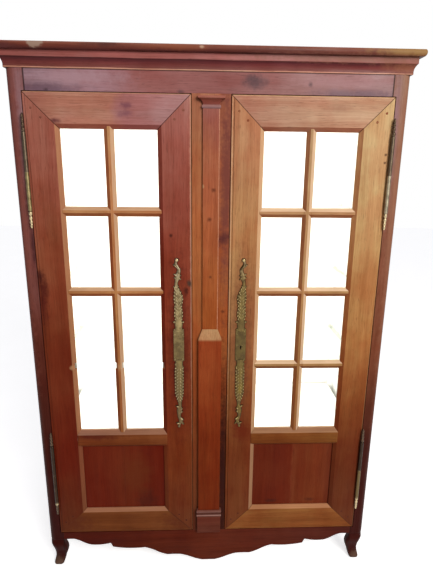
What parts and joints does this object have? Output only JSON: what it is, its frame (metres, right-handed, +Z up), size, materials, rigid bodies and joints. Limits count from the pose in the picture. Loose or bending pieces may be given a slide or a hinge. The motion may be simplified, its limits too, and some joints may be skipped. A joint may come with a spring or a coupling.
{
  "type": "display cabinet",
  "caption": "Tall wooden armoire with two glazed doors on barrel hinges, a pilaster between them, a moulded cornice, a scalloped apron and shelves inside for display.",
  "frame": {"origin": "on the floor, under the middle of the whole cabinet with its cornice", "axes": "+X to the right seen from the front, +Y from front to back, +Z up"},
  "size_m": [1.352, 0.528, 1.964],
  "materials": {
    "cherry_wood": "waxed, worn",
    "back_wood": "bare, aged",
    "honey_wood": "waxed",
    "peg_wood": "waxed",
    "inside_paint": "matte paint on wood",
    "clear_glass": "clear",
    "putty": "matte",
    "old_brass": "aged, rubbed",
    "dark_iron": "oiled"
  },
  "bodies": {
    "carcass": {"front_post_right": "cherry_wood", "front_post_left": "cherry_wood", "rear_post_right": "cherry_wood", "rear_post_left": "cherry_wood", "frieze_rail": "cherry_wood", "apron_rail": "cherry_wood", "centre_post": "cherry_wood", "pilaster_base": "cherry_wood", "pilaster_lower_shaft": "cherry_wood", "pilaster_upper_shaft": "cherry_wood", "pilaster_capital": "cherry_wood", "cornice_front": "cherry_wood", "cornice_right": "cherry_wood", "cornice_left": "cherry_wood", "side_rails_right": "cherry_wood", "side_rails_left": "cherry_wood", "side_panels_right": "cherry_wood", "side_panels_left": "cherry_wood", "top_boards": "back_wood", "back_bottom_rail": "back_wood", "back_top_rail": "back_wood", "back_muntin": "back_wood", "back_panels": "back_wood", "shelf_boards": "inside_paint", "shelf_bearers": "inside_paint", "glass_shelves": "clear_glass", "frame_pegs": "peg_wood", "post_hinge_halves_right": "old_brass", "post_hinge_halves_left": "old_brass"},
    "left_door": {"left_door_outer_stile": "cherry_wood", "left_door_inner_stile": "cherry_wood", "left_door_top_rail": "cherry_wood", "left_door_mid_rail": "cherry_wood", "left_door_bottom_rail": "cherry_wood", "left_door_lower_panel": "cherry_wood", "left_door_glazing_bars": "honey_wood", "left_door_panes": "clear_glass", "left_door_putty": "putty", "left_door_pegs": "peg_wood", "left_door_key_plate": "old_brass", "left_door_plate_nails": "old_brass", "left_door_hinge_halves": "old_brass", "slide_bolt_guides": "dark_iron"},
    "right_door": {"right_door_outer_stile": "cherry_wood", "right_door_inner_stile": "cherry_wood", "right_door_top_rail": "cherry_wood", "right_door_mid_rail": "cherry_wood", "right_door_bottom_rail": "cherry_wood", "right_door_lower_panel": "cherry_wood", "right_door_glazing_bars": "honey_wood", "right_door_panes": "clear_glass", "right_door_putty": "putty", "right_door_pegs": "peg_wood", "right_door_key_plate": "old_brass", "right_door_plate_nails": "old_brass", "right_door_hinge_halves": "old_brass", "lock_case": "dark_iron"},
    "lock_bolt": {"lock_bolt": "dark_iron"},
    "top_slide_bolt": {"top_slide_bolt": "dark_iron"},
    "bottom_slide_bolt": {"bottom_slide_bolt": "dark_iron"}
  },
  "joints": [
    {"name": "left_door_hinge", "type": "hinge", "parent": "carcass", "child": "left_door", "pos_m": [-0.601, -0.246, 1.008], "axis": [0, 0, -1], "range_deg": [0, 165]},
    {"name": "right_door_hinge", "type": "hinge", "parent": "carcass", "child": "right_door", "pos_m": [0.601, -0.246, 1.008], "axis": [0, 0, 1], "range_deg": [0, 165]},
    {"name": "lock_bolt_slide", "type": "slide", "parent": "right_door", "child": "lock_bolt", "axis": [-1, 0, 0], "range_m": [0, 0.014]},
    {"name": "top_bolt_slide", "type": "slide", "parent": "left_door", "child": "top_slide_bolt", "axis": [0, 0, 1], "range_m": [0, 0.014]},
    {"name": "bottom_bolt_slide", "type": "slide", "parent": "left_door", "child": "bottom_slide_bolt", "axis": [0, 0, -1], "range_m": [0, 0.014]}
  ]
}
